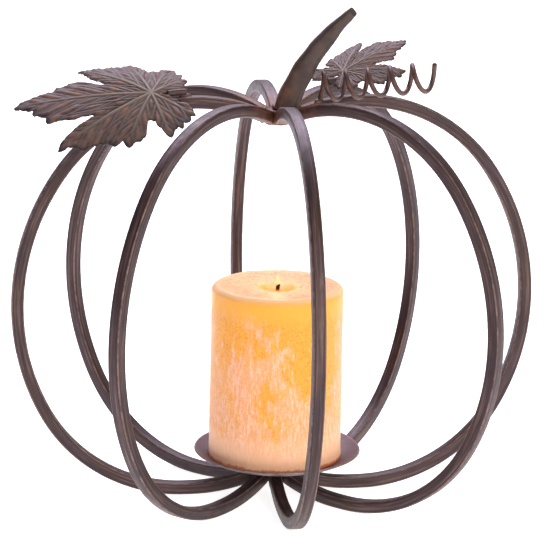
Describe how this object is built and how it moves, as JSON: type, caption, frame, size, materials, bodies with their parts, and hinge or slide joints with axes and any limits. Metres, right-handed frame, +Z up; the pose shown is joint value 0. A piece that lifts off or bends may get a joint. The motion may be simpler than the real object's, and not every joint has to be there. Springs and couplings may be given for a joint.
{
  "type": "pillar candle holder",
  "caption": "Pumpkin-shaped cage of bent square bars with a dish for a pillar candle, a forged stem, pressed leaves and a wire tendril on top.",
  "frame": {"origin": "on the cage's axis, at the level of the table that its bars stand on", "axes": "+Z up; -Y towards the front bar; +X to the right, the side with the tendril"},
  "size_m": [0.3044, 0.3045, 0.2858],
  "materials": {
    "bronze_paint": "dark bronze powder coat, satin, with a brown cast on the worn faces",
    "rubbed_paint": "dark bronze coat rubbed back to copper brown on raised veins and edges",
    "amber_wax": "mottled amber wax, frosted peach streaks, reddish at the foot",
    "cotton_wick": "charred cotton braid",
    "tin_plate": "pressed tin tab, plain"
  },
  "bodies": {
    "frame": {"rib_front": "bronze_paint", "rib_front_right": "bronze_paint", "rib_right": "bronze_paint", "rib_back_right": "bronze_paint", "rib_back": "bronze_paint", "rib_back_left": "bronze_paint", "rib_left": "bronze_paint", "rib_front_left": "bronze_paint", "top_slug": "bronze_paint", "bottom_slug": "bronze_paint", "candle_dish": "bronze_paint", "stem": "rubbed_paint", "leaf_left": "rubbed_paint", "leaf_left_stalk": "rubbed_paint", "leaf_right": "rubbed_paint", "leaf_right_stalk": "rubbed_paint", "tendril": "rubbed_paint"},
    "candle": {"candle_wax": "amber_wax", "wick": "cotton_wick", "wick_tab": "tin_plate"}
  },
  "joints": [
    {"name": "candle_lift_out", "type": "slide", "parent": "frame", "child": "candle", "axis": [0.3294, -0.8363, 0.4384], "range_m": [0, 0.22]}
  ]
}
